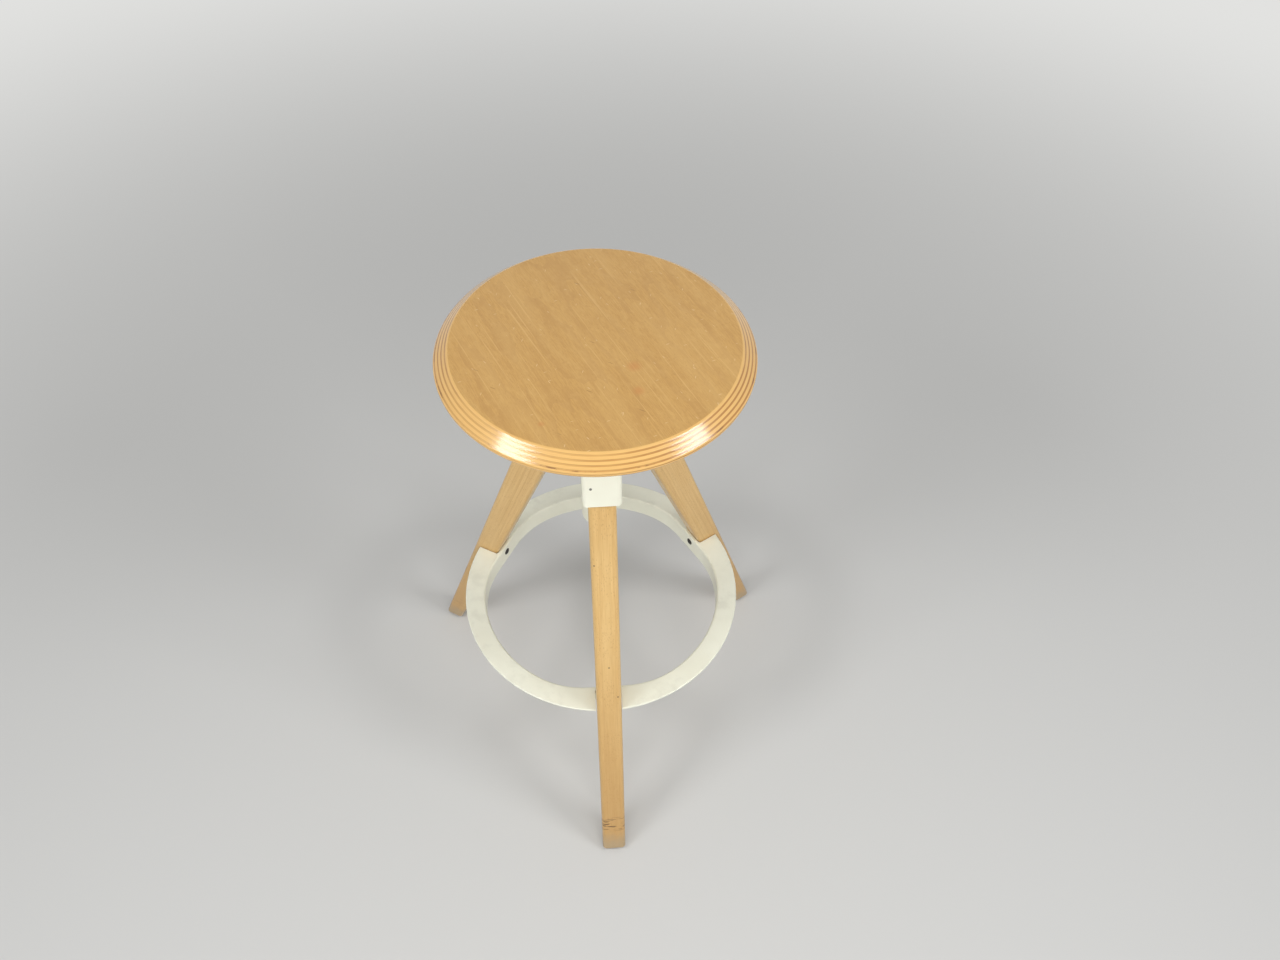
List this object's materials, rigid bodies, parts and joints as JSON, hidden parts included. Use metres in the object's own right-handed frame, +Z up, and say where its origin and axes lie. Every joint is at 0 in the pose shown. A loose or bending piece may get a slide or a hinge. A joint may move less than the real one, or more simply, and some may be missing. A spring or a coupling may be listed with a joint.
{
  "type": "bar stool",
  "caption": "Round plywood seat on a threaded spindle, screwed up or down in a cast hub that holds splayed tapered wooden legs, with a painted footrest ring.",
  "frame": {"origin": "on the floor, under the axis of the seat's spindle", "axes": "+Z up along the spindle, -Y towards the front leg, +X to the right of someone looking from the front"},
  "size_m": [0.5164, 0.4857, 0.735],
  "materials": {
    "seat_ply": "clear lacquer, glossy, plies showing on the edge",
    "leg_beech": "clear lacquer, satin, worn at the feet",
    "cream_paint": "cream gloss paint with a few chips",
    "black_steel": "black satin paint",
    "black_screw": "blackened steel",
    "zinc_steel": "zinc plated",
    "spindle_steel": "oiled bare steel with a rolled thread",
    "brass": "turned",
    "nylon": "black nylon"
  },
  "bodies": {
    "base": {"spindle_nut": "brass", "guide_tube": "cream_paint", "hub": "cream_paint", "leg_bolts": "zinc_steel", "leg_washers": "zinc_steel", "leg_barrel_nuts": "zinc_steel", "footrest_ring": "cream_paint", "ring_screws": "black_screw", "foot_glides": "nylon", "glide_nails": "zinc_steel", "leg_front": "leg_beech", "leg_right": "leg_beech", "leg_left": "leg_beech"},
    "guide": {"guide_sleeve": "nylon"},
    "seat": {"seat_board": "seat_ply", "seat_plate": "black_steel", "seat_plate_screws": "zinc_steel", "spindle": "spindle_steel", "stop_washer": "zinc_steel", "stop_screw": "zinc_steel"}
  },
  "joints": [
    {"name": "seat_lift", "type": "slide", "parent": "base", "child": "guide", "axis": [0, 0, 1], "range_m": [-0.0501, 0.0701]},
    {"name": "seat_turn", "type": "hinge", "parent": "guide", "child": "seat", "pos_m": [0, 0, 0.6], "axis": [0, 0, 1], "range_deg": [-3000, 4200]}
  ],
  "couplings": [
    {"joint": "seat_lift", "follows": "seat_turn", "m_per_rad": 0.00095493}
  ]
}
